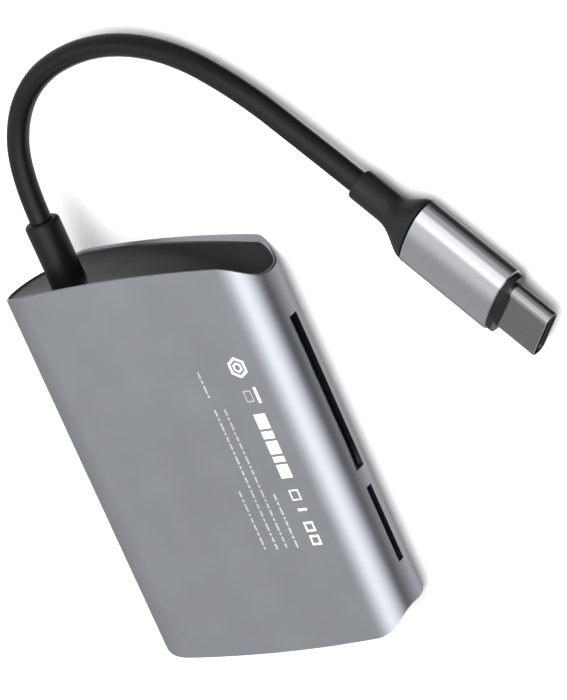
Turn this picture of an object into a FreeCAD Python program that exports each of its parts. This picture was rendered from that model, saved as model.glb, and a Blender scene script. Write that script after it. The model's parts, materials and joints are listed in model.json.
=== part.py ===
import FreeCAD, Part
import math
import os
from FreeCAD import Vector

# A USB-C hub: an extruded aluminium shell with a teardrop section, scooped ends closed by plastic caps,
# two USB-A sockets on the thick side, SD and microSD slots on the thin side, and a short cord to its plug.
# Frame: origin under the middle of the shell, +X the card side, +Y the cord end, +Z out of the label face.
# Millimetres.

os.makedirs("parts", exist_ok=True)

# Shell
WIDTH = 49.8  # X, over both rounded sides
LENGTH = 61.8  # Y, between the ends of the flat faces at mid width
THICK_R = 7.6  # radius of the rounded side that holds the USB-A sockets
THIN_R = 5.1  # radius of the rounded side that holds the card slots
WALL = 1.0
END_BOW = 1.2  # how far the ends draw back from mid width to the sides
SCOOP_THICK = 1.1  # how deep each end is scooped at the thick side
SCOOP_THIN = {1: 2.75, -1: 2.5}  # and at the thin side, at the cord end and the far end
SCOOP_AT_LOGO = {1: 0.0, -1: 0.5}  # the share of the scoop that is left at the logo face
RIM_CHAMFER = 0.2

# End caps
CAP_FIT = 0.04  # gap between cap and shell
CAP_LAND = 0.4  # the shell's wall beside a cap's outer step, which sits in a rebate
CAP_INSET = 0.2  # how far a cap's face lies below the shell's end along the flat faces
CORD_CAP_DISH = 3.0  # how much deeper it dips in the thin side
CORD_CAP_INNER = 22.0  # the cap's flat inner face, from the middle of the shell
FAR_CAP_DISH = 1.0
FAR_CAP_INNER = 23.9
REBATE_Y = {1: 23.4, -1: 25.2}  # where each rebate begins, from the middle of the shell
CAP_HOLLOW = 0.6

# Card slots in the +X wall
SLOT_Z = 4.0  # middle of both slots
SD_Y = 6.9
SD_SLOT = (24.8, 2.1)
MICRO_Y = -14.5
MICRO_SLOT = (12.2, 1.3)

# USB-A sockets in the -X wall
USB_Y = (-17.1, -0.3)
USB_Z = 7.45
USB_OUTER = (14.0, 13.1, 5.7)  # depth, width, height
USB_SHEET = 0.3
USB_FRONT_X = -24.3
MOUTH_GAP = 0.1

# Main board
BOARD_X = (-19.6, 21.4)
BOARD_Y = (-23.6, 21.7)
BOARD_BOTTOM = 1.62
BOARD_THICK = 0.8
BOARD_TOP = BOARD_BOTTOM + BOARD_THICK

# Cord, strain relief and plug
CORD_D = 3.3
BORE_GAP = 0.03
RELIEF_X = -14.7
RELIEF_Z = 7.35
RELIEF_D = 5.3
RELIEF_END_Y = 38.7
RELIEF_FLANGE_D = 8.0
RELIEF_FLANGE = 1.4
CORD_START_Y = 37.7
TAIL_Y = 16.6  # where the cord's jacket ends inside the shell
CLAMP_D = 5.0
CLAMP_LENGTH = 2.8
PLUG_YAW = -47.5  # degrees from +X
PLUG_THICK = 6.0
PLUG_WIDTH = 11.1
PLUG_CROWN = 15.4  # degrees that its crowned faces turn through, from the middle to each side
PLUG_Z = PLUG_THICK / 2
PLUG_POS = Vector(54.8, 30.1, PLUG_Z)  # where the boot ends and the metal sleeve begins
BOOT_LENGTH = 10.3
BOOT_D = 4.6
BOOT_END = (10.9, 5.9)  # where it meets the sleeve
BOOT_SOCKET = 0.8  # how far the cord goes into the boot's mouth
SLEEVE_LENGTH = 15.5
SLEEVE_WALL = 0.45
COLLAR_LENGTH = 0.9
COLLAR_STEP = 0.3  # how far the collar lies inside the sleeve's outline
TYPE_C = (6.65, 8.34, 2.56)  # the plug's metal tongue: length, width, height

# Wires inside the shell
WIRE_R = 0.28
PAD_PITCH = 1.3
PAD_Y = 10.0

# The cord's route from the strain relief to the boot, which it enters along the plug's axis.
PLUG_AXIS = Vector(math.cos(math.radians(PLUG_YAW)), math.sin(math.radians(PLUG_YAW)), 0)
BOOT_MOUTH = PLUG_POS - PLUG_AXIS * BOOT_LENGTH
CORD_END = BOOT_MOUTH + PLUG_AXIS * BOOT_SOCKET
CORD_ROUTE = [
    Vector(RELIEF_X, CORD_START_Y, RELIEF_Z),
    Vector(RELIEF_X, 46.5, RELIEF_Z),
    Vector(-10.5, 55.7, 6.2),
    Vector(-2.6, 61.3, 4.6),
    Vector(9.4, 63.0, 2.9),
    Vector(21.8, 60.1, 2.35),
    Vector(32.6, 53.0, 2.6),
    Vector(40.7, 45.1, 2.9),
    BOOT_MOUTH - PLUG_AXIS * 3.6,
    CORD_END,
]

nodes = {}


def box(x0, x1, y0, y1, z0, z1):
    return Part.makeBox(x1 - x0, y1 - y0, z1 - z0, Vector(x0, y0, z0))


def cylinder(radius, base, axis, length):
    return Part.makeCylinder(radius, length, base, axis)


def fuse(shapes):
    return shapes[0].multiFuse(shapes[1:]).removeSplitter()


def group(shapes):
    return Part.makeCompound(shapes)


def clean(shape):
    shape = shape.removeSplitter()
    return shape.Solids[0] if len(shape.Solids) == 1 else shape


# ---- the teardrop section and the scooped ends ----

THICK_CENTRE = Vector(-WIDTH / 2 + THICK_R, 0, THICK_R)
THIN_CENTRE = Vector(WIDTH / 2 - THIN_R, 0, THIN_R)


def label_normal():
    """The direction out of the label face, which leans towards the thin side."""
    line = THIN_CENTRE - THICK_CENTRE
    angle = math.atan2(line.z, line.x) + math.acos((THICK_R - THIN_R) / line.Length)
    return Vector(math.cos(angle), 0, math.sin(angle))


def section(inset):
    """Two circles and their two tangent lines, drawn inwards by inset."""
    thick, thin = THICK_R - inset, THIN_R - inset
    up, down = label_normal(), Vector(0, 0, -1)
    top_thick, top_thin = THICK_CENTRE + up * thick, THIN_CENTRE + up * thin
    low_thick, low_thin = THICK_CENTRE + down * thick, THIN_CENTRE + down * thin
    right = Vector(up.x + 0, 0, up.z - 1).normalize()
    left = Vector(-right.x, 0, -right.z)
    edges = [
        Part.LineSegment(top_thick, top_thin).toShape(),
        Part.Arc(top_thin, THIN_CENTRE + right * thin, low_thin).toShape(),
        Part.LineSegment(low_thin, low_thick).toShape(),
        Part.Arc(low_thick, THICK_CENTRE + left * thick, top_thick).toShape(),
    ]
    return Part.Face(Part.Wire(edges))


def bar(inset, y0, y1):
    face = section(inset)
    face.translate(Vector(0, y0, 0))
    return face.extrude(Vector(0, y1 - y0, 0))


def share(x):
    """0 at the thick side's centre and 1 at the thin side's."""
    return (x - THICK_CENTRE.x) / (THIN_CENTRE.x - THICK_CENTRE.x)


def blend(thick, thin, x):
    return thick + (thin - thick) * share(x)


def hollow(end, height):
    """How the scoop deepens between the faces, where height is 1 and -1: squarer towards the logo face."""
    fall = 1 if height > 0 else 1 - SCOOP_AT_LOGO[end]
    power = 2 if height > 0 else 6
    if abs(height) > 1:
        return 1 - fall - fall * (abs(height) - 1) * power
    return 1 - fall * abs(height) ** power


def end_y(end, x, height, inset=0.0, dish=0.0):
    """Distance from mid length to the end surface. A cap's surface is inset, and dished at its thin side."""
    radius = blend(THICK_R, THIN_R, x)
    scoop = blend(SCOOP_THICK, SCOOP_THIN[end], x) * hollow(end, height)
    bow = END_BOW * (2 * x / WIDTH) ** 2
    across = max(share(x), 0) ** 3
    within = max(1 - (height * radius / (radius - WALL)) ** 2, 0)
    return LENGTH / 2 - bow - scoop - inset - dish * across * within


def end_tool(end, inset=0.0, dish=0.0):
    """Everything beyond the scooped end surface. end is 1 at the cord end and -1 at the far end."""
    across, along, reach = 17, 17, 1.2
    grid = []
    for i in range(across):
        x = -WIDTH / 2 - 1 + (WIDTH + 2) * i / (across - 1)
        radius = blend(THICK_R, THIN_R, x)
        row = []
        for j in range(along):
            height = reach * (2 * j / (along - 1) - 1)
            row.append(Vector(x, end * end_y(end, x, height, inset, dish), radius * (1 + height)))
        grid.append(row)
    surface = Part.BSplineSurface()
    surface.interpolate(grid)
    return surface.toShape().extrude(Vector(0, end * LENGTH / 2, 0))


# ---- shell and end caps ----


def rim_edges(shape, end):
    """The outer edges of one end: they touch the outer section's surface and the end surface."""
    found = []
    outer = bar(0, -LENGTH, LENGTH).Shells[0]
    for edge in shape.Edges:
        middle = edge.valueAt((edge.FirstParameter + edge.LastParameter) / 2)
        if end * middle.y < LENGTH / 2 - 6 or edge.BoundBox.YLength > 8:
            continue
        if outer.distToShape(Part.Vertex(middle))[0] < 1e-3:
            found.append(edge)
    return found


def make_shell():
    shell = bar(0, -LENGTH / 2 - 1, LENGTH / 2 + 1)
    shell = shell.cut(end_tool(1)).cut(end_tool(-1))
    for end in (1, -1):
        shell = shell.makeChamfer(RIM_CHAMFER, rim_edges(shell, end))
    shell = shell.cut(bar(WALL, -LENGTH, LENGTH))
    shell = shell.cut(bar(CAP_LAND, REBATE_Y[1], LENGTH)).cut(bar(CAP_LAND, -LENGTH, -REBATE_Y[-1]))
    for y, (wide, high) in ((SD_Y, SD_SLOT), (MICRO_Y, MICRO_SLOT)):
        shell = shell.cut(box(18, 26, y - wide / 2, y + wide / 2, SLOT_Z - high / 2, SLOT_Z + high / 2))
    half_wide, half_high = USB_OUTER[1] / 2 + MOUTH_GAP, USB_OUTER[2] / 2 + MOUTH_GAP
    for y in USB_Y:
        shell = shell.cut(box(-26, -18, y - half_wide, y + half_wide, USB_Z - half_high, USB_Z + half_high))
    nodes["shell"] = clean(shell)


def cap(end, inner_y, dish):
    """A stepped plug, dished outside, with a shallow recess inside."""
    inner, step, outer = end * inner_y, end * (REBATE_Y[end] + CAP_FIT), end * (LENGTH / 2 + 1)
    solid = bar(WALL + CAP_FIT, *sorted((inner, outer)))
    solid = solid.fuse(bar(CAP_LAND + CAP_FIT, *sorted((step, outer))))
    solid = solid.cut(end_tool(end, CAP_INSET, dish))
    recess = bar(WALL + 1.1, *sorted((inner, inner + end * CAP_HOLLOW)))
    return solid.cut(recess)


def make_caps():
    cord_cap = cap(1, CORD_CAP_INNER, CORD_CAP_DISH)
    hole = cylinder(RELIEF_D / 2 + 0.05, Vector(RELIEF_X, CORD_CAP_INNER - 1, RELIEF_Z), Vector(0, 1, 0), 15)
    nodes["cord_end_cap"] = clean(cord_cap.cut(hole))
    nodes["far_end_cap"] = clean(cap(-1, FAR_CAP_INNER, FAR_CAP_DISH))


# ---- strain relief and cord ----


def tube_route():
    """Straight runs joined by tangent arcs, each as large as its two runs allow."""
    edges, radii, place = [], [], CORD_ROUTE[0]
    for before, at, after in zip(CORD_ROUTE, CORD_ROUTE[1:], CORD_ROUTE[2:]):
        back, on = before - at, after - at
        half_turn = (math.pi - back.getAngle(on)) / 2
        reach = 0.45 * min(back.Length, on.Length)
        radius = reach / math.tan(half_turn)
        radii.append(radius)
        back.normalize()
        on.normalize()
        start, finish = at + back * reach, at + on * reach
        inward = (back + on).normalize()
        middle = at + inward * (radius / math.cos(half_turn) - radius)
        edges.append(Part.LineSegment(place, start).toShape())
        edges.append(Part.Arc(start, middle, finish).toShape())
        place = finish
    edges.append(Part.LineSegment(place, CORD_ROUTE[-1]).toShape())
    return Part.Wire(edges), radii


def make_cord():
    path, radii = tube_route()
    circle = Part.Wire(Part.Circle(CORD_ROUTE[0], Vector(0, 1, 0), CORD_D / 2).toShape())
    tube = path.makePipeShell([circle], True, False)
    expected = math.pi * CORD_D**2 / 4 * path.Length
    print("cord length %.1f, volume / expected %.4f" % (path.Length, tube.Volume / expected))
    print("cord bend radii, in diameters:", ["%.1f" % (r / CORD_D) for r in radii])
    nodes["cord"] = tube


def make_relief():
    along = Vector(0, 1, 0)
    flange_y = CORD_CAP_INNER - 0.05
    sleeve = cylinder(RELIEF_D / 2, Vector(RELIEF_X, flange_y, RELIEF_Z), along, RELIEF_END_Y - flange_y)
    lip = [e for e in sleeve.Edges if e.BoundBox.YLength < 1e-6 and e.BoundBox.YMax > RELIEF_END_Y - 0.01]
    sleeve = sleeve.makeFillet(0.55, lip)
    base = Vector(RELIEF_X, flange_y - RELIEF_FLANGE, RELIEF_Z)
    flange = cylinder(RELIEF_FLANGE_D / 2, base, along, RELIEF_FLANGE)
    bore = cylinder(CORD_D / 2 + BORE_GAP, Vector(RELIEF_X, 0, RELIEF_Z), along, 60)
    nodes["strain_relief"] = clean(fuse([sleeve, flange]).cut(bore))
    tail = cylinder(CORD_D / 2, Vector(RELIEF_X, TAIL_Y, RELIEF_Z), along, CORD_START_Y - TAIL_Y)
    nodes["cord_tail"] = tail
    clamp = cylinder(CLAMP_D / 2, Vector(RELIEF_X, TAIL_Y + 0.8, RELIEF_Z), along, CLAMP_LENGTH)
    nodes["cord_clamp"] = clean(clamp.cut(bore))


def make_wires():
    """Five cores that fan out of the cord's tail and come down to their pads on the board."""
    wires = []
    for i in range(5):
        x = RELIEF_X + (i - 2) * 0.62
        pad_x = RELIEF_X + (i - 2) * PAD_PITCH
        start = Vector(x, TAIL_Y - 0.15, RELIEF_Z)
        knee = Vector(pad_x, TAIL_Y - 3.4, RELIEF_Z - 1.2)
        pad = Vector(pad_x, PAD_Y, BOARD_TOP + WIRE_R)
        pieces = []
        for a, b in ((start, knee), (knee, pad)):
            pieces.append(cylinder(WIRE_R, a, b - a, (b - a).Length))
        pieces.append(Part.makeSphere(WIRE_R, knee))
        wires.append(fuse(pieces))
    nodes["wires"] = group(wires)
    joints = []
    for i, wire in enumerate(wires):
        joint = Part.makeCone(0.6, 0.35, 0.6, Vector(RELIEF_X + (i - 2) * PAD_PITCH, PAD_Y, BOARD_TOP))
        joints.append(joint.cut(wire))
    nodes["solder_joints"] = group(joints)


# ---- main board and what is soldered to it ----


def make_board():
    board = box(*BOARD_X, *BOARD_Y, BOARD_BOTTOM, BOARD_TOP)
    nodes["main_board"] = board
    tray = box(-17.2, 19.6, BOARD_Y[0], BOARD_Y[1], WALL + 0.02, BOARD_BOTTOM)
    for y in (-17, -6, 5, 16):
        tray = tray.cut(box(-14, 16, y - 3.5, y + 3.5, 0, 2))
    nodes["board_tray"] = clean(tray)


def chip(x, y, wide, deep, high, pins, pitch):
    """A moulded package with a row of gull-wing pins on its two long sides."""
    body = box(x - wide / 2, x + wide / 2, y - deep / 2, y + deep / 2, BOARD_TOP + 0.1, BOARD_TOP + high)
    legs = []
    for i in range(pins):
        at = y + (i - (pins - 1) / 2) * pitch
        for side in (-1, 1):
            near, far = x + side * wide / 2, x + side * (wide / 2 + 0.9)
            legs.append(box(min(near, far), max(near, far), at - 0.12, at + 0.12, BOARD_TOP, BOARD_TOP + 0.2))
    return body, legs


def make_chips():
    hub, hub_legs = chip(-5.6, 12.5, 3.9, 9.9, 1.5, 14, 0.65)
    reader, reader_legs = chip(0.6, -15.2, 4.4, 6.6, 1.3, 8, 0.65)
    nodes["hub_chip"] = hub
    nodes["card_reader_chip"] = reader
    nodes["chip_pins"] = group(hub_legs + reader_legs)
    nodes["crystal"] = box(-7.4, -4.2, 2.6, 5.1, BOARD_TOP, BOARD_TOP + 0.8)
    nodes["regulator"] = box(-8.2, -5.2, -22.6, -20.8, BOARD_TOP, BOARD_TOP + 1.1)
    capacitors = [box(x, x + 1.6, y, y + 0.8, BOARD_TOP, BOARD_TOP + 0.8) for x in (-8.4, -4.6) for y in (18.4, 20)]
    capacitors += [box(-3.9, -2.3, y, y + 0.8, BOARD_TOP, BOARD_TOP + 0.8) for y in (-23, -21)]
    nodes["capacitors"] = group(capacitors)
    resistors = [box(-9.9, -8.9, y, y + 0.5, BOARD_TOP, BOARD_TOP + 0.35) for y in (7.6, 9.2, 10.8, 12.4)]
    resistors += [box(4.2, 5.2, y, y + 0.5, BOARD_TOP, BOARD_TOP + 0.35) for y in (-22.6, -24)]
    nodes["resistors"] = group(resistors)


def make_usb_socket(number, y):
    """A sheet steel shell on a plastic base, with a tongue that carries four contacts."""
    depth, wide, high = USB_OUTER
    x0, x1 = USB_FRONT_X, USB_FRONT_X + depth
    z0, z1 = USB_Z - high / 2, USB_Z + high / 2
    sheet = USB_SHEET
    shell = box(x0, x1, y - wide / 2, y + wide / 2, z0, z1)
    shell = shell.cut(box(x0, x1, y - wide / 2 + sheet, y + wide / 2 - sheet, z0 + sheet, z1 - sheet))
    for side in (-1, 1):
        window = box(x0 + 5, x0 + 8, y + side * 3.1 - 1, y + side * 3.1 + 1, z1 - sheet, z1)
        shell = shell.cut(window)
    nodes["usb_shell_%d" % number] = clean(shell)
    block = box(x1 - 3, x1, y - wide / 2 + sheet, y + wide / 2 - sheet, z0 + sheet, z1 - sheet)
    tongue_z = z1 - sheet - 0.75
    tongue = box(x0 + 1.8, x1 - 3, y - 5.55, y + 5.55, tongue_z - 1.84, tongue_z)
    contacts, pins = [], []
    for i in range(4):
        at = y + (-3.5, -1.0, 1.0, 3.5)[i]
        contacts.append(box(x0 + 2.4, x1 - 3, at - 0.5, at + 0.5, tongue_z - 2.0, tongue_z - 1.84))
    insulator = fuse([block, tongue])
    nodes["usb_tongue_%d" % number] = clean(insulator)
    nodes["usb_contacts_%d" % number] = group(contacts)
    base_x0 = BOARD_X[0]
    base = box(base_x0, x1, y - wide / 2, y + wide / 2, BOARD_TOP, z0)
    nodes["usb_base_%d" % number] = base


def make_sd_socket():
    """A floor with side rails and a back wall, a folded steel cover and nine sprung contacts."""
    x0, x1 = -1.2, 22.0
    inside, rail = 24.3, 1.5
    y0, y1 = SD_Y - inside / 2 - rail, SD_Y + inside / 2 + rail
    floor, roof = SLOT_Z - 1.12, SLOT_Z + 1.12
    base = box(x0, x1, y0, y1, BOARD_TOP, roof)
    base = base.cut(box(x0 + 1.4, x1, SD_Y - inside / 2, SD_Y + inside / 2, floor, roof))
    corner = cylinder(THIN_R - WALL - 0.1, Vector(THIN_CENTRE.x, -40, THIN_R), Vector(0, 1, 0), 80)
    wide_open = box(-30, THIN_CENTRE.x, -40, 40, 0, 20)
    base = base.common(fuse([corner, wide_open]))
    nodes["sd_base"] = clean(base)
    cover = box(x0, x1 - 1.6, y0, y1, roof, roof + 0.2)
    cover = cover.cut(box(x0 + 4, x0 + 9, SD_Y - 8, SD_Y + 8, roof - 1, roof + 1))
    nodes["sd_cover"] = clean(cover)
    contacts = []
    for i in range(9):
        y = SD_Y + (i - 4) * 2.5
        blade = box(x0 + 1.6, x0 + 8.4, y - 0.4, y + 0.4, floor, floor + 0.15)
        nose = cylinder(0.3, Vector(x0 + 6.6, y - 0.4, floor + 0.2), Vector(0, 1, 0), 0.8)
        contacts.append(fuse([blade, nose.common(box(-30, 30, -40, 40, floor, 9))]))
    nodes["sd_contacts"] = group(contacts)


# microSD socket: push to lock, push again to release
MICRO_X = (6.2, 21.4)
MICRO_INSIDE = 11.3
MICRO_RAIL = 1.3
MICRO_FLOOR = SLOT_Z - 0.65
MICRO_ROOF = SLOT_Z + 0.65
SLIDER_WIDE = 1.4
SLIDER_TRAVEL = 1.2
SLIDER_X = (10.2, 17.4)  # at rest
SLIDER_GAP = 0.08


def make_micro_socket():
    x0, x1 = MICRO_X
    y0 = MICRO_Y - MICRO_INSIDE / 2 - MICRO_RAIL - SLIDER_WIDE - 0.5
    y1 = MICRO_Y + MICRO_INSIDE / 2 + 0.6
    base = box(x0, x1, y0, y1, BOARD_TOP, MICRO_ROOF)
    base = base.cut(box(x0 + 1, x1, MICRO_Y - MICRO_INSIDE / 2, MICRO_Y + MICRO_INSIDE / 2, MICRO_FLOOR, MICRO_ROOF))
    track_y0 = MICRO_Y - MICRO_INSIDE / 2 - SLIDER_WIDE - 2 * SLIDER_GAP
    track = box(x0 + 1, x1 - 1, track_y0, MICRO_Y - MICRO_INSIDE / 2, MICRO_FLOOR, MICRO_ROOF)
    nodes["microsd_base"] = clean(base.cut(track))
    cover = box(x0, x1 - 0.4, y0, y1, MICRO_ROOF, MICRO_ROOF + 0.15)
    nodes["microsd_cover"] = cover
    slider_y0 = track_y0 + SLIDER_GAP
    low, high = MICRO_FLOOR + SLIDER_GAP, MICRO_ROOF - SLIDER_GAP
    slider = box(*SLIDER_X, slider_y0, slider_y0 + SLIDER_WIDE, low, high)
    hook = box(SLIDER_X[0], SLIDER_X[0] + 1.0, slider_y0 + SLIDER_WIDE, slider_y0 + SLIDER_WIDE + 2.2, low, high)
    heart = Part.makeCylinder(0.32, 0.5, Vector(SLIDER_X[0] + 3.6, slider_y0 + SLIDER_WIDE / 2, high - 0.5))
    groove = box(SLIDER_X[0] + 2.4, SLIDER_X[0] + 5.6, slider_y0 + 0.25, slider_y0 + 0.5, high - 0.4, high)
    nodes["microsd_slider"] = clean(fuse([slider, hook]).cut(heart).cut(groove))
    make_micro_spring(x0 + 1, SLIDER_X[0], slider_y0 + SLIDER_WIDE / 2)
    contacts = []
    for i in range(8):
        y = MICRO_Y + (i - 3.5) * 1.1
        contacts.append(box(x0 + 1, x0 + 2.6, y - 0.3, y + 0.3, MICRO_FLOOR, MICRO_FLOOR + 0.12))
    nodes["microsd_contacts"] = group(contacts)


def make_micro_spring(x0, x1, y):
    """A return spring between the socket's back wall and the slider, drawn as close rings."""
    wire, radius = 0.1, 0.42
    z = (MICRO_FLOOR + MICRO_ROOF) / 2
    turns = 7
    length = x1 - x0 - 2 * wire - 0.04
    helix = Part.makeLongHelix(length / turns, length, radius)
    helix.rotate(Vector(0, 0, 0), Vector(0, 1, 0), 90)
    helix.translate(Vector(x0 + wire + 0.02, y, z))
    start = helix.Vertexes[0].Point
    for vertex in helix.Vertexes:
        if vertex.Point.x < start.x:
            start = vertex.Point
    circle = Part.Wire(Part.Circle(start, Vector(0.2, 1, 0), wire).toShape())
    coil = Part.Wire(helix.Edges).makePipeShell([circle], True, False)
    nodes["microsd_spring"] = coil


# ---- the plug, drawn along +X from the end of its boot ----


def oval(x, wide, high):
    """A flat oval wire across X: two lines and two half circles."""
    r, flat = high / 2, (wide - high) / 2
    a, b = Vector(x, flat, r), Vector(x, -flat, r)
    c, d = Vector(x, -flat, -r), Vector(x, flat, -r)
    return Part.Wire([
        Part.LineSegment(a, b).toShape(),
        Part.Arc(b, Vector(x, -flat - r, 0), c).toShape(),
        Part.LineSegment(c, d).toShape(),
        Part.Arc(d, Vector(x, flat + r, 0), a).toShape(),
    ])


def crowned(x, wide, high):
    """An oval whose two faces are slightly crowned: four arcs, or a circle when it is as wide as high."""
    half, turn = high / 2, math.radians(PLUG_CROWN)
    slope = 1 / math.tan(turn / 2)
    side = (half * slope - wide / 2) / (slope - 1)
    large = (half - side * math.cos(turn)) / (1 - math.cos(turn))
    y, z = large * math.sin(turn), large * math.cos(turn) - (large - half)
    a, b, c, d = Vector(x, y, z), Vector(x, -y, z), Vector(x, -y, -z), Vector(x, y, -z)
    return Part.Wire([
        Part.Arc(a, Vector(x, 0, half), b).toShape(),
        Part.Arc(b, Vector(x, -wide / 2, 0), c).toShape(),
        Part.Arc(c, Vector(x, 0, -half), d).toShape(),
        Part.Arc(d, Vector(x, wide / 2, 0), a).toShape(),
    ])


def bar_of(wire, length):
    return Part.Face(wire).extrude(Vector(length, 0, 0))


def put_plug(name, shape):
    shape = shape.copy()
    shape.rotate(Vector(0, 0, 0), Vector(0, 0, 1), PLUG_YAW)
    shape.translate(PLUG_POS)
    nodes[name] = shape


def make_boot():
    """A round tube that flares into the sleeve's oval: millimetres before the sleeve, share of the flare."""
    outline = [(BOOT_LENGTH, 0), (7.5, 0), (5.5, 0.015), (4.0, 0.1), (3.0, 0.25), (2.0, 0.54), (1.0, 0.86), (0, 1)]
    wires = []
    for before, flare in outline:
        wide, high = (BOOT_D + (end - BOOT_D) * flare for end in BOOT_END)
        wires.append(crowned(-before, wide, high))
    boot = Part.makeLoft(wires, True, False)
    bore = cylinder(CORD_D / 2 + BORE_GAP, Vector(-BOOT_LENGTH - 1, 0, 0), Vector(1, 0, 0), 1 + BOOT_SOCKET)
    put_plug("plug_boot", boot.cut(bore))


def make_plug():
    make_boot()
    inner_wide, inner_high = PLUG_WIDTH - 2 * SLEEVE_WALL, PLUG_THICK - 2 * SLEEVE_WALL
    start = 0.12
    sleeve = bar_of(crowned(start, PLUG_WIDTH, PLUG_THICK), SLEEVE_LENGTH - start)
    ends = [e for e in sleeve.Edges if e.BoundBox.XLength < 1e-6]
    sleeve = sleeve.makeChamfer(0.15, ends)
    put_plug("plug_sleeve", sleeve.cut(bar_of(crowned(-1, inner_wide, inner_high), SLEEVE_LENGTH + 2)))
    length, wide, high = TYPE_C
    front = SLEEVE_LENGTH + COLLAR_LENGTH
    back = SLEEVE_LENGTH - 5
    metal = bar_of(oval(back, wide, high), front + length - back)
    put_plug("plug_shell", metal.cut(bar_of(oval(back - 1, wide - 0.5, high - 0.5), front + length + 2 - back)))
    board = box(3, back - 0.1, -3.6, 3.6, -0.4, 0.4)
    core = bar_of(crowned(start, inner_wide - 0.06, inner_high - 0.06), SLEEVE_LENGTH - start)
    put_plug("plug_core", core.cut(metal).cut(board))
    put_plug("plug_board", board)
    collar = crowned(SLEEVE_LENGTH, PLUG_WIDTH - 2 * COLLAR_STEP, PLUG_THICK - 2 * COLLAR_STEP)
    put_plug("plug_collar", bar_of(collar, COLLAR_LENGTH).cut(metal))
    insert_end = front + length - 0.3
    insert = bar_of(oval(back, wide - 0.54, high - 0.54), insert_end - back)
    mouth = box(front + 0.6, front + length, -3.3, 3.3, -0.42, 0.42)
    put_plug("plug_insert", insert.cut(mouth))
    pins = []
    for side in (-1, 1):
        for i in range(12):
            y = (i - 5.5) * 0.5
            z0, z1 = sorted((side * 0.42, side * 0.3))
            pins.append(box(front + 0.6, insert_end - 0.6, y - 0.12, y + 0.12, z0, z1))
    put_plug("plug_contacts", group(pins))


def main():
    make_shell()
    make_caps()
    make_relief()
    make_cord()
    make_wires()
    make_board()
    make_chips()
    for number, y in enumerate(USB_Y, 1):
        make_usb_socket(number, y)
    make_sd_socket()
    make_micro_socket()
    make_plug()
    for name, shape in nodes.items():
        if not shape.isValid():
            print("not valid:", name)
        shape.exportStep("parts/%s.step" % name)
    print(len(nodes), "nodes")


main()
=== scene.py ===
import itertools
import json
import math

import bmesh
import bpy
from mathutils import Matrix, Vector


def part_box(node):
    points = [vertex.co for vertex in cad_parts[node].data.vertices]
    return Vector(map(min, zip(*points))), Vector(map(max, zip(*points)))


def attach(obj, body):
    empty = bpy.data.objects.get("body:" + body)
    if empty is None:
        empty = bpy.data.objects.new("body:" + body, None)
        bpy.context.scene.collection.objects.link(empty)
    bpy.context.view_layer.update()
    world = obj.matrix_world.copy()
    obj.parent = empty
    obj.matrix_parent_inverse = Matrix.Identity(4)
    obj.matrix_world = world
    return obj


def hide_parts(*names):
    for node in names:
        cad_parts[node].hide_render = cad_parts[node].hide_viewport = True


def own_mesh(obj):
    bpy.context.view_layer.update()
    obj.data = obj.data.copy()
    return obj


# A USB-C hub lying on its logo face: satin anodised shell, dark end caps, a short black cord and its plug.
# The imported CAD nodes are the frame. This file gives every node its material, replaces the cord, its relief,
# the plug's boot and the return spring, and adds the socket springs and the printed label.
# Metres, in the CAD's own frame: +X the card side, +Y the cord end, +Z out of the label face.

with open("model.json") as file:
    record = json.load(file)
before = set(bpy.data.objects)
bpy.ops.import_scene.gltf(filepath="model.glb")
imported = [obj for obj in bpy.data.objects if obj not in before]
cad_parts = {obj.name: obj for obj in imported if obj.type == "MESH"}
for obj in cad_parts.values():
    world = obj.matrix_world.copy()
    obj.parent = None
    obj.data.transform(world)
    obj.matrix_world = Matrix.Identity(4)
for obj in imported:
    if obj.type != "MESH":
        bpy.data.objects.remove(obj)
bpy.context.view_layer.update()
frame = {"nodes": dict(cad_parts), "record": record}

MM = 0.001
HUB = "hub"
SHARP = math.radians(35)  # an edge that turns more than this stays sharp

# ---- camera ----
CAMERA_PLACE = Vector((0.55563, 0.23242, 0.43946))
CAMERA_BACK = Vector((0.739945, 0.301854, 0.601198))  # from the object towards the camera
CAMERA_ROLL = -127.77  # degrees
CAMERA_LENS = 264.9  # on a 36 mm sensor

# ---- studio ----
FLOOR_SIZE = 3.0
FLOOR_COLOUR = (0.9, 0.9, 0.9, 1)

# Soft light from all round: direction, degrees to full strength, degrees to none, strength.
SKY_BASE = 0.06
SKY = [
    ((-0.60, -0.30, 0.74), 20, 70, 0.45),
    ((-1.00, 0.00, 0.05), 20, 75, 0.20),
    ((0.45, -0.25, 0.86), 12, 42, 1.00),
    ((0.70, -0.30, 0.60), 12, 42, 1.60),
    ((0.05, 0.10, 1.00), 15, 50, 0.60),
    ((0.36, 0.46, 0.80), 18, 46, 1.90),
    ((0.60, 0.80, 0.14), 10, 34, 0.70),
    ((0.55, 0.75, -0.35), 8, 30, 0.30),
    ((0.35, -0.60, -0.75), 15, 50, 0.70),
    ((-0.35, -0.60, -0.75), 20, 60, 0.50),
    ((-0.80, 0.20, -0.55), 15, 45, 0.40),
    ((0.00, -1.00, 0.10), 20, 70, 0.30),
    ((-0.40, 0.90, 0.20), 20, 60, 0.45),
]
# name, place, aim, width, height, watts, seen in reflections
SOFTBOXES = [
    ("wash", (0.1, 0.1, 1.2), (0, 0, 0), 2.0, 2.0, 17.0, False),
    ("side", (-0.20, 0.10, 0.35), (0, 0.03, 0), 0.30, 0.30, 0.09, True),
]

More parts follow.
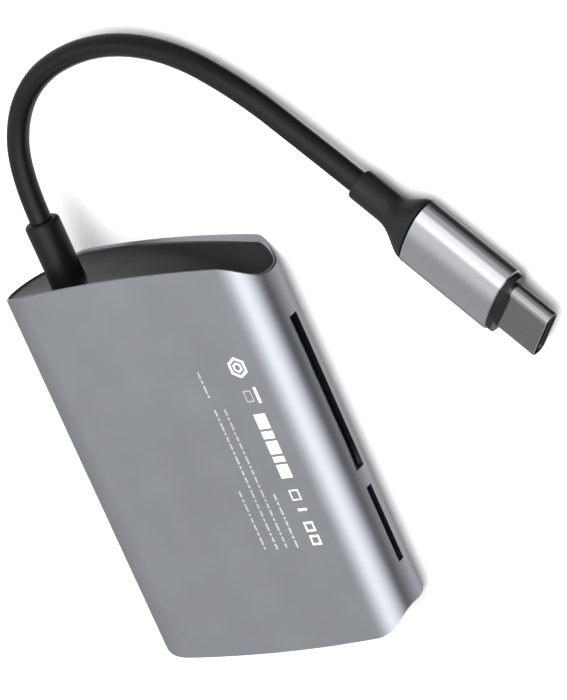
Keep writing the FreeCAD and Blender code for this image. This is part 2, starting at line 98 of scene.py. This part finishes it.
# ---- cord ----
CORD_D = 3.3 * MM
RELIEF_X, RELIEF_Z = -14.7, 7.35  # mm
RELIEF_END_Y = 38.7  # mm
PLUG_YAW = math.radians(-47.5)
PLUG_AXIS = Vector((math.cos(PLUG_YAW), math.sin(PLUG_YAW), 0))
PLUG_POS = Vector((54.8, 30.1, 3.0)) * MM
BOOT_LENGTH = 10.3 * MM
BOOT_MOUTH = PLUG_POS - PLUG_AXIS * BOOT_LENGTH
CORD_ROUTE = [
    Vector((-14.7, 37.7, 7.35)) * MM,
    Vector((-14.7, 46.5, 7.35)) * MM,
    Vector((-10.5, 55.7, 6.2)) * MM,
    Vector((-2.6, 61.3, 4.6)) * MM,
    Vector((9.4, 63.0, 2.9)) * MM,
    Vector((21.8, 60.1, 2.35)) * MM,
    Vector((32.6, 53.0, 2.6)) * MM,
    Vector((40.7, 45.1, 2.9)) * MM,
    BOOT_MOUTH - PLUG_AXIS * 3.6 * MM,
    BOOT_MOUTH + PLUG_AXIS * 0.8 * MM,
]
BORE_R = 1.68  # mm, where the cord goes into the boot and the relief

# ---- plug boot, mm ----
BOOT_D = 4.6
BOOT_END = (10.85, 5.85)  # its width and height at the metal sleeve
BOOT_FLARE = 5.5  # how far before the sleeve it starts to widen
BOOT_LIP = 0.2
BOOT_SOCKET = 0.8
BOOT_GAP = 0.08  # between it and the sleeve
BOOT_RINGS = 44
BOOT_RIDGE = 0.03  # the mould's parting line along each side
CROWN_TURN = math.radians(15.4)

# ---- strain relief, mm ----
RELIEF_R = 2.65
RELIEF_LIP = 0.55
FLANGE_R = 4.0
FLANGE_Y = (20.55, 21.95)
RELIEF_RINGS = 20
RELIEF_SIDES = 64

# ---- USB-A contact springs, mm ----
USB_Y = (-17.1, -0.3)
USB_SHEET_TOP = 10.3
SPRING_X = (-19.2, -16.4)
SPRING_SIDE = 3.1  # from the middle of the socket
SPRING_WIDE = 1.3
SPRING_DIP = 0.35
SPRING_THICK = 0.15
SPRING_GAP = 0.02  # below the top of the socket's sheet
SPRING_STEPS = 13

# ---- microSD return spring, mm ----
COIL_TURNS = 7
COIL_WIRE_R = 0.1
COIL_STEPS = 24  # in each turn
COIL_SIDES = 8

# ---- printed label, mm ----
LABEL_ORIGIN = Vector((20.484, 0, 10.154))  # the edge of the flat face beside the thin side
LABEL_UP = Vector((-0.991, 0, 0.134))  # towards the tops of the marks
LABEL_NORMAL = Vector((0.134, 0, 0.991))
INK = 0.012  # how far the print stands above the face, and how far it sinks in
BLOCK_X = (15.95, 18.05)
BLOCK_TOP_Y = 7.3
BLOCK_WIDTHS = (2.4, 1.2, 2.1, 0.9, 2.2)
BLOCK_GAP = 0.4
# The lines of small print: x, and the y of the start and the end.
SMALL_PRINT = [
    (7.3, -4.3, -14.1),
    (9.5, 14.9, 10.0),
    (9.5, 8.8, -14.1),
    (11.3, 8.7, -14.0),
    (13.3, -5.4, -14.2),
]
DASH_LENGTHS = (1.0, 0.5, 1.3, 0.4, 0.8)
DASH_HIGH = 0.34
DASH_GAP = 0.3
SHORTEST_END = 0.5  # no dash starts nearer than this to the end of its line


# ---- materials ----

BROAD_SIZE = 9 * MM  # of the tone's slow changes
PATCH_SIZE = 1.6 * MM  # of the breaks in the edge wear and the painted edge highlight
BUMP_STRENGTH = 0.6
NOISE_LOW, NOISE_HIGH = 0.3, 0.7  # where most of a noise's values lie
WORN_SMOOTHER = 0.25  # how much less rough a fully worn edge is


class Nodes:
    """A material's or world's node tree, with short calls for what repeats."""

    def __init__(self, tree):
        self.tree = tree
        tree.nodes.clear()

    def add(self, kind, **settings):
        node = self.tree.nodes.new("ShaderNode" + kind)
        for name, value in settings.items():
            setattr(node, name, value)
        return node

    def link(self, value, socket):
        """Join an output to a socket, or set the socket to a number."""
        if isinstance(value, bpy.types.NodeSocket):
            self.tree.links.new(value, socket)
        else:
            socket.default_value = value

    def math(self, operation, *values, clamp=False):
        node = self.add("Math", operation=operation, use_clamp=clamp)
        for value, socket in zip(values, node.inputs):
            self.link(value, socket)
        return node.outputs[0]

    def noise(self, coordinates, scale, detail=3.0, roughness=0.55):
        node = self.add("TexNoise")
        self.link(coordinates, node.inputs["Vector"])
        node.inputs["Scale"].default_value = scale
        node.inputs["Detail"].default_value = detail
        node.inputs["Roughness"].default_value = roughness
        return node.outputs["Fac"]

    def remap(self, value, low, high, to_low, to_high, smooth=False):
        node = self.add("MapRange", interpolation_type="SMOOTHSTEP" if smooth else "LINEAR")
        inputs = {"Value": value, "From Min": low, "From Max": high, "To Min": to_low, "To Max": to_high}
        for name, given in inputs.items():
            self.link(given, node.inputs[name])
        return node.outputs["Result"]

    def mix(self, factor, a, b):
        node = self.add("Mix", data_type="RGBA")
        self.link(factor, node.inputs["Factor"])
        self.link(a, node.inputs["A"])
        self.link(b, node.inputs["B"])
        return node.outputs["Result"]


def rgba(colour):
    return (*colour, 1.0)


def scaled(colour, factor):
    return tuple(min(1.0, c * factor) for c in colour)


def edge_mask(nodes, radius, low=0.02, high=0.25):
    """1 on the edges of a piece, from how far a rounded normal leaves the true one."""
    bevel = nodes.add("Bevel", samples=4)
    bevel.inputs["Radius"].default_value = radius
    geometry = nodes.add("NewGeometry")
    dot = nodes.add("VectorMath", operation="DOT_PRODUCT")
    nodes.link(bevel.outputs["Normal"], dot.inputs[0])
    nodes.link(geometry.outputs["Normal"], dot.inputs[1])
    away = nodes.math("SUBTRACT", 1.0, dot.outputs["Value"], clamp=True)
    return nodes.remap(away, low, high, 0.0, 1.0, smooth=True)


def material(
    name, colour, roughness, metallic=0.0, grain=0.2, grain_depth=0.004, mottle=0.06, rough_mottle=0.05,
    wear=0.25, wear_colour=None, wear_radius=0.12, stretch=(1, 1, 1), **shader_values,
):
    """A grained surface whose edges are lightened, partly as wear and partly as a painted highlight. grain is
    the grain's size and the edge radius is the width of that lightened edge band, in mm.
    """
    made = bpy.data.materials.new(name)
    made.use_nodes = True
    nodes = Nodes(made.node_tree)
    place = nodes.add("TexCoord").outputs["Object"]
    mapping = nodes.add("Mapping")
    nodes.link(place, mapping.inputs["Vector"])
    mapping.inputs["Scale"].default_value = stretch
    here = mapping.outputs["Vector"]
    fine = nodes.noise(here, 1 / (grain * MM), detail=2.0)
    broad = nodes.noise(place, 1 / BROAD_SIZE, detail=4.0)
    tones = nodes.math("ADD", nodes.math("MULTIPLY", broad, 0.7), nodes.math("MULTIPLY", fine, 0.3))
    tone = nodes.remap(tones, NOISE_LOW, NOISE_HIGH, 0.0, 1.0)
    body = nodes.mix(tone, rgba(scaled(colour, 1 - mottle)), rgba(scaled(colour, 1 + mottle)))
    edges = edge_mask(nodes, wear_radius * MM)
    patchy = nodes.remap(nodes.noise(place, 1 / PATCH_SIZE), 0.35, 0.6, 0.35, 1.0)
    # The edges are lightened in the colour itself: partly real wear, partly a painted highlight standing in
    # for the bright line that light draws along rims.
    worn_and_highlit = nodes.math("MULTIPLY", nodes.math("MULTIPLY", edges, patchy), wear)
    colour_out = nodes.mix(worn_and_highlit, body, rgba(wear_colour or scaled(colour, 2.2)))
    rough = nodes.remap(tones, NOISE_LOW, NOISE_HIGH, roughness - rough_mottle, roughness + rough_mottle)
    rough = nodes.math("SUBTRACT", rough, nodes.math("MULTIPLY", worn_and_highlit, WORN_SMOOTHER), clamp=True)
    bump = nodes.add("Bump")
    bump.inputs["Strength"].default_value = BUMP_STRENGTH
    bump.inputs["Distance"].default_value = grain_depth * MM
    nodes.link(fine, bump.inputs["Height"])
    shader = nodes.add("BsdfPrincipled")
    nodes.link(colour_out, shader.inputs["Base Color"])
    nodes.link(rough, shader.inputs["Roughness"])
    nodes.link(bump.outputs["Normal"], shader.inputs["Normal"])
    shader.inputs["Metallic"].default_value = metallic
    for socket, value in shader_values.items():
        shader.inputs[socket.replace("_", " ")].default_value = value
    output = nodes.add("OutputMaterial")
    nodes.link(shader.outputs["BSDF"], output.inputs["Surface"])
    return made


LOOKS = {
    # The light edge colour on the shell and the sleeve is partly a painted highlight along their rims and
    # partly wear.
    "anodised_shell": dict(
        colour=(0.405, 0.42, 0.455), roughness=0.36, metallic=1.0, grain=0.09, grain_depth=0.003,
        mottle=0.03, rough_mottle=0.03, wear=0.8, wear_colour=(0.78, 0.78, 0.80),
    ),
    "anodised_sleeve": dict(
        colour=(0.50, 0.51, 0.535), roughness=0.22, metallic=1.0, grain=0.08, grain_depth=0.002,
        mottle=0.03, rough_mottle=0.03, wear=0.6, wear_colour=(0.8, 0.8, 0.82),
    ),
    "cap_plastic": dict(
        colour=(0.006, 0.006, 0.006), roughness=0.34, grain=0.12, grain_depth=0.006,
        Specular_IOR_Level=0.35,
    ),
    "relief_rubber": dict(
        colour=(0.005, 0.005, 0.005), roughness=0.34, grain=0.1, grain_depth=0.006,
        Specular_IOR_Level=0.22,
    ),
    "cord_jacket": dict(
        colour=(0.005, 0.005, 0.005), roughness=0.26, grain=0.15, grain_depth=0.004,
        Specular_IOR_Level=0.22,
    ),
    "boot_plastic": dict(
        colour=(0.008, 0.008, 0.008), roughness=0.36, grain=0.1, grain_depth=0.006,
        Specular_IOR_Level=0.25,
    ),
    "collar_plastic": dict(colour=(0.006, 0.006, 0.006), roughness=0.3, grain=0.1, Specular_IOR_Level=0.25),
    # The light edge colour on the plug's steel is partly a painted highlight along its edges and partly wear.
    "plug_steel": dict(
        colour=(0.27, 0.27, 0.27), roughness=0.14, metallic=1.0, grain=0.06, grain_depth=0.001,
        wear=0.4, wear_colour=(0.8, 0.8, 0.8),
    ),
    "socket_steel": dict(
        colour=(0.52, 0.51, 0.50), roughness=0.25, metallic=1.0, grain=0.2, stretch=(0.2, 1, 1),
    ),
    "spring_steel": dict(
        colour=(0.45, 0.44, 0.43), roughness=0.25, metallic=1.0, grain=0.1, wear_radius=0.03,
    ),
    "crimp_metal": dict(colour=(0.55, 0.54, 0.52), roughness=0.35, metallic=1.0, grain=0.2),
    "gold_contact": dict(
        colour=(0.83, 0.60, 0.25), roughness=0.22, metallic=1.0, grain=0.1, wear_radius=0.04,
    ),
    "solder": dict(colour=(0.62, 0.62, 0.62), roughness=0.3, metallic=1.0, grain=0.1, wear_radius=0.03),
    "crystal_can": dict(colour=(0.60, 0.60, 0.58), roughness=0.3, metallic=1.0, grain=0.1),
    "inner_plastic": dict(colour=(0.60, 0.62, 0.66), roughness=0.5, grain=0.1, grain_depth=0.006),
    "tongue_plastic": dict(colour=(0.62, 0.62, 0.60), roughness=0.45, grain=0.1),
    "slider_plastic": dict(colour=(0.30, 0.30, 0.29), roughness=0.45, grain=0.1, wear_radius=0.05),
    "chip_package": dict(colour=(0.022, 0.022, 0.024), roughness=0.6, grain=0.08, grain_depth=0.008),
    "ceramic_capacitor": dict(colour=(0.42, 0.30, 0.18), roughness=0.5, grain=0.1),
    "circuit_board": dict(colour=(0.012, 0.060, 0.035), roughness=0.35, grain=0.5, mottle=0.25),
    "wire_insulation": dict(colour=(0.35, 0.03, 0.02), roughness=0.4, grain=0.1, wear_radius=0.04),
}
INK_LOOK = dict(
    colour=(0.86, 0.87, 0.88), roughness=0.5, grain=0.05, grain_depth=0.002,
    mottle=0.04, wear=0.1, wear_radius=0.02,
)
FINE_INK_LOOK = dict(INK_LOOK, colour=(0.36, 0.37, 0.39), mottle=0.3)

LOOK_MATERIALS = {slot: material(slot, **look) for slot, look in LOOKS.items()}
LOOK_MATERIALS["label_ink"] = material("label_ink", **INK_LOOK)
LOOK_MATERIALS["fine_ink"] = material("fine_ink", **FINE_INK_LOOK)


def paint(obj, slot):
    obj.data.materials.clear()
    obj.data.materials.append(LOOK_MATERIALS[slot])


def paint_cad_nodes():
    for part in frame["record"]["subparts"]:
        node = frame["nodes"][part["node"]]
        for material_slot in node.material_slots:
            material_slot.material = LOOK_MATERIALS[part["material_slot"]]


def add_piece(obj, slot, *nodes):
    """Put a finished piece on the hub, in place of these CAD nodes."""
    paint(obj, slot)
    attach(obj, HUB)
    if nodes:
        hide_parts(*nodes)
    return obj


# ---- pieces ----


def object_from(name, points, faces):
    """A smooth mesh object from points in mm; its real edges stay sharp."""
    mesh = bpy.data.meshes.new(name)
    mesh.from_pydata([Vector(p) * MM for p in points], [], faces)
    work = bmesh.new()
    work.from_mesh(mesh)
    bmesh.ops.recalc_face_normals(work, faces=work.faces)
    work.to_mesh(mesh)
    work.free()
    mesh.shade_smooth()
    mesh.set_sharp_from_angle(angle=SHARP)
    made = bpy.data.objects.new(name, mesh)
    bpy.context.scene.collection.objects.link(made)
    return made


def skin(name, rings, closed=False):
    """A solid through rings of points, ended by two flat faces or joined end to start."""
    count = len(rings[0])
    points = [p for ring in rings for p in ring]
    faces = []
    for i in range(len(rings) if closed else len(rings) - 1):
        here, there = i * count, (i + 1) % len(rings) * count
        for j in range(count):
            k = (j + 1) % count
            faces.append((here + j, here + k, there + k, there + j))
    if not closed:
        faces.append(tuple(reversed(range(count))))
        faces.append(tuple(range((len(rings) - 1) * count, len(rings) * count)))
    return object_from(name, points, faces)


def crowned(wide, high):
    """An oval of four arcs as (across, up) points; a circle when it is as wide as high."""
    half = high / 2
    slope = 1 / math.tan(CROWN_TURN / 2)
    side = (half * slope - wide / 2) / (slope - 1)
    large = (half - side * math.cos(CROWN_TURN)) / (1 - math.cos(CROWN_TURN))
    quarter = [(large * math.sin(a), half - large + large * math.cos(a)) for a in spread(0, CROWN_TURN, 7)]
    quarter += [(wide / 2 - side + side * math.sin(a), side * math.cos(a))
                for a in spread(CROWN_TURN, math.pi / 2, 15)[1:]]
    quarter[-1] = (wide / 2 + BOOT_RIDGE, 0)
    right = quarter + [(x, -y) for x, y in reversed(quarter[:-1])]
    return right + [(-x, y) for x, y in reversed(right[1:-1])]


def spread(first, last, count):
    return [first + (last - first) * i / (count - 1) for i in range(count)]


def lip(depth_from, radius_to, size, steps=5):
    """Points (depth, radius) round an edge of this size, from the side to the end face."""
    turns = spread(0, math.pi / 2, steps)
    return [(depth_from + size * math.sin(a), radius_to + size * math.cos(a)) for a in turns]


def flare(before):
    """How far the boot has widened, this many mm before the sleeve."""
    near = min(1.0, max(0.0, (BOOT_FLARE - before) / BOOT_FLARE))
    return (near * near * (3 - 2 * near)) ** 1.6


def make_boot():
    start = PLUG_POS / MM
    across = Vector((-PLUG_AXIS.y, PLUG_AXIS.x, 0))

    def ring(before, wide, high):
        middle = start - PLUG_AXIS * before
        return [middle + across * x + Vector((0, 0, y)) for x, y in crowned(wide, high)]

    length = BOOT_LENGTH / MM
    rings = []
    for before in spread(BOOT_GAP, length - BOOT_LIP, BOOT_RINGS):
        wide, high = (BOOT_D + (end - BOOT_D) * flare(before) for end in BOOT_END)
        rings.append(ring(before, wide, high))
    for before, radius in lip(length - BOOT_LIP, BOOT_D / 2 - BOOT_LIP, BOOT_LIP)[1:]:
        rings.append(ring(before, 2 * radius, 2 * radius))
    rings.append(ring(length, 2 * BORE_R, 2 * BORE_R))
    rings.append(ring(length - BOOT_SOCKET, 2 * BORE_R, 2 * BORE_R))
    return add_piece(skin("moulded_boot", rings), "boot_plastic", "plug_boot")


def make_relief():
    back, front = FLANGE_Y
    profile = [(back, BORE_R), (back, FLANGE_R), (front, FLANGE_R), (front, RELIEF_R)]
    profile += [(y, RELIEF_R) for y in spread(front, RELIEF_END_Y - RELIEF_LIP, RELIEF_RINGS)[1:-1]]
    profile += lip(RELIEF_END_Y - RELIEF_LIP, RELIEF_R - RELIEF_LIP, RELIEF_LIP)
    profile.append((RELIEF_END_Y, BORE_R))
    rings = []
    turns = [2 * math.pi * i / RELIEF_SIDES for i in range(RELIEF_SIDES)]
    for y, radius in profile:
        rings.append([(RELIEF_X + radius * math.cos(a), y, RELIEF_Z + radius * math.sin(a)) for a in turns])
    return add_piece(skin("relief_sleeve", rings, closed=True), "relief_rubber", "strain_relief")


def make_springs():
    """The leaf springs in the top windows of the two USB-A sockets."""
    for number, socket_y in enumerate(USB_Y, 1):
        for end in (-1, 1):
            middle = socket_y + end * SPRING_SIDE
            rings = []
            for share in spread(0, 1, SPRING_STEPS):
                x = SPRING_X[0] + (SPRING_X[1] - SPRING_X[0]) * share
                top = USB_SHEET_TOP - SPRING_GAP - SPRING_DIP * math.sin(math.pi * share ** 1.4) ** 2
                left, right = middle - SPRING_WIDE / 2, middle + SPRING_WIDE / 2
                low = top - SPRING_THICK
                rings.append([(x, left, low), (x, right, low), (x, right, top), (x, left, top)])
            name = f"usb_spring_{number}_{'a' if end < 0 else 'b'}"
            add_piece(skin(name, rings), "spring_steel")


def make_return_spring():
    """The slider's return spring, drawn where its CAD node is. The real one shortens as the slider is pushed;
    this one keeps one length.
    """
    low, high = (Vector(corner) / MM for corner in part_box("microsd_spring"))
    middle = (low + high) / 2
    radius = (high.z - low.z) / 2 - COIL_WIRE_R
    steps = COIL_TURNS * COIL_STEPS
    sides = [2 * math.pi * k / COIL_SIDES for k in range(COIL_SIDES)]
    along = Vector((1, 0, 0))
    rings = []
    for i in range(steps + 1):
        turn = 2 * math.pi * COIL_TURNS * i / steps
        out = Vector((0, math.cos(turn), math.sin(turn)))
        x = low.x + COIL_WIRE_R + (high.x - low.x - 2 * COIL_WIRE_R) * i / steps
        centre = Vector((x, middle.y, middle.z)) + out * radius
        rings.append([centre + (out * math.cos(a) + along * math.sin(a)) * COIL_WIRE_R for a in sides])
    spring = add_piece(skin("return_spring", rings), "spring_steel", "microsd_spring")
    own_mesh(spring)


# ---- printed label ----


def polygon(x, y, size, sides):
    """Corners of a regular shape of this size across."""
    turns = [2 * math.pi * (i + 0.5) / sides for i in range(sides)]
    return [(x + size / 2 * math.cos(a), y + size / 2 * math.sin(a)) for a in turns]


def rectangle(x_low, x_high, y_low, y_high):
    return [(x_low, y_low), (x_high, y_low), (x_high, y_high), (x_low, y_high)]


class Print:
    """Flat marks gathered into one thin raised mesh. Places are the hub's x and y, in mm."""

    def __init__(self):
        self.points, self.faces = [], []

    def put(self, x, y, height):
        up = (x - LABEL_ORIGIN.x) / LABEL_UP.x
        self.points.append(LABEL_ORIGIN + LABEL_UP * up + Vector((0, y, 0)) + LABEL_NORMAL * height)

    def band(self, outer, inner):
        """A closed band between two outlines."""
        count, first = len(outer), len(self.points)
        for corners, height in ((outer, -INK), (outer, INK), (inner, INK), (inner, -INK)):
            for x, y in corners:
                self.put(x, y, height)
        for ring in range(4):
            for j in range(count):
                a, b = first + ring * count, first + (ring + 1) % 4 * count
                k = (j + 1) % count
                self.faces.append((a + j, a + k, b + k, b + j))

    def block(self, *extent):
        """A filled rectangle, given as rectangle is."""
        first = len(self.points)
        for height in (-INK, INK):
            for x, y in rectangle(*extent):
                self.put(x, y, height)
        for quad in ((3, 2, 1, 0), (4, 5, 6, 7), (0, 1, 5, 4), (1, 2, 6, 5), (2, 3, 7, 6), (3, 0, 4, 7)):
            self.faces.append(tuple(first + q for q in quad))

    def ring(self, x, y, size, stroke, sides):
        self.band(polygon(x, y, size, sides), polygon(x, y, size - 2 * stroke, sides))

    def frame(self, x_low, x_high, y_low, y_high, stroke):
        outer = rectangle(x_low, x_high, y_low, y_high)
        inner = rectangle(x_low + stroke, x_high - stroke, y_low + stroke, y_high - stroke)
        self.band(outer, inner)

    def make(self, name, slot):
        return add_piece(object_from(name, self.points, self.faces), slot)


def make_label():
    """Plain shapes where the label has its marks, and plain dashes for its lines of small print."""
    marks = Print()
    marks.ring(16.9, 14.8, 3.4, 0.45, 6)
    marks.ring(16.9, 14.8, 1.7, 0.35, 6)
    marks.block(17.95, 18.45, 8.95, 11.5)
    top = BLOCK_TOP_Y
    for wide in BLOCK_WIDTHS:
        marks.block(*BLOCK_X, top - wide, top)
        top -= wide + BLOCK_GAP
    marks.ring(17.0, -5.9, 2.4, 0.28, 4)
    marks.block(16.3, 17.95, -8.5, -8.1)
    for low in (-11.9, -14.1):
        marks.frame(16.2, 17.95, low, low + 1.6, 0.32)
    marks.make("label_marks", "label_ink")
    small = Print()
    small.frame(15.9, 17.3, 9.3, 11.1, 0.18)
    for line in SMALL_PRINT:
        add_dashes(small, *line)
    small.make("label_small_print", "fine_ink")


def add_dashes(small, x, start, end):
    """Dashes along one line of small print, their lengths taken in turn."""
    for length in itertools.cycle(DASH_LENGTHS):
        if start <= end + SHORTEST_END:
            break
        stop = max(end, start - length)
        small.block(x - DASH_HIGH / 2, x + DASH_HIGH / 2, stop, start)
        start = stop - DASH_GAP


# ---- cord ----


def make_cord(*pieces):
    """The cord's tube, in place of the CAD cord. The pieces passed in are not used."""
    curve = bpy.data.curves.new("cord_jacket_tube", "CURVE")
    curve.dimensions = "3D"
    spline = curve.splines.new("NURBS")
    spline.points.add(len(CORD_ROUTE) - 1)
    for point, place in zip(spline.points, CORD_ROUTE):
        point.co = (*place, 1)
    spline.order_u = 3
    spline.use_endpoint_u = True
    spline.resolution_u = 24
    curve.bevel_depth = CORD_D / 2
    curve.bevel_resolution = 8
    curve.use_fill_caps = True
    cord = bpy.data.objects.new("cord_line", curve)
    bpy.context.scene.collection.objects.link(cord)
    add_piece(cord, "cord_jacket", "cord")


# ---- studio ----


def make_camera():
    data = bpy.data.cameras.new("camera")
    data.lens = CAMERA_LENS
    camera = bpy.data.objects.new("camera", data)
    bpy.context.scene.collection.objects.link(camera)
    level = (-CAMERA_BACK).to_track_quat("-Z", "Y").to_matrix().to_4x4()
    roll = Matrix.Rotation(math.radians(CAMERA_ROLL), 4, "Z")
    camera.matrix_world = Matrix.Translation(CAMERA_PLACE) @ level @ roll
    bpy.context.scene.camera = camera


def make_floor():
    mesh = bpy.data.meshes.new("floor")
    half = FLOOR_SIZE / 2
    corners = [(-half, -half, 0), (half, -half, 0), (half, half, 0), (-half, half, 0)]
    mesh.from_pydata(corners, [], [(0, 1, 2, 3)])
    floor = bpy.data.objects.new("floor", mesh)
    bpy.context.scene.collection.objects.link(floor)
    made = bpy.data.materials.new("floor_paper")
    made.use_nodes = True
    shader = made.node_tree.nodes["Principled BSDF"]
    shader.inputs["Base Color"].default_value = FLOOR_COLOUR
    shader.inputs["Roughness"].default_value = 0.9
    shader.inputs["Specular IOR Level"].default_value = 0.1
    mesh.materials.append(made)
    floor.visible_glossy = False


def make_sky():
    world = bpy.data.worlds.new("studio")
    bpy.context.scene.world = world
    world.use_nodes = True
    nodes = Nodes(world.node_tree)
    direction = nodes.add("TexCoord").outputs["Generated"]
    total = SKY_BASE
    for towards, inner, outer, strength in SKY:
        dot = nodes.add("VectorMath", operation="DOT_PRODUCT")
        nodes.link(direction, dot.inputs[0])
        dot.inputs[1].default_value = Vector(towards).normalized()
        low, high = math.cos(math.radians(outer)), math.cos(math.radians(inner))
        lobe = nodes.remap(dot.outputs["Value"], low, high, 0.0, strength, smooth=True)
        total = nodes.math("ADD", total, lobe)
    background = nodes.add("Background")
    nodes.link(total, background.inputs["Strength"])
    output = nodes.add("OutputWorld")
    nodes.link(background.outputs[0], output.inputs["Surface"])


def make_lights():
    for name, place, aim, width, height, watts, reflected in SOFTBOXES:
        data = bpy.data.lights.new(name, "AREA")
        data.shape = "RECTANGLE"
        data.size = width
        data.size_y = height
        data.energy = watts
        light = bpy.data.objects.new(name, data)
        bpy.context.scene.collection.objects.link(light)
        light.location = place
        light.visible_glossy = reflected
        light.rotation_euler = (Vector(aim) - Vector(place)).to_track_quat("-Z", "Y").to_euler()


paint_cad_nodes()
make_camera()
make_cord(make_boot(), make_relief())
make_springs()
make_return_spring()
make_label()
make_floor()
make_sky()
make_lights()
bpy.context.scene.view_settings.view_transform = "Standard"
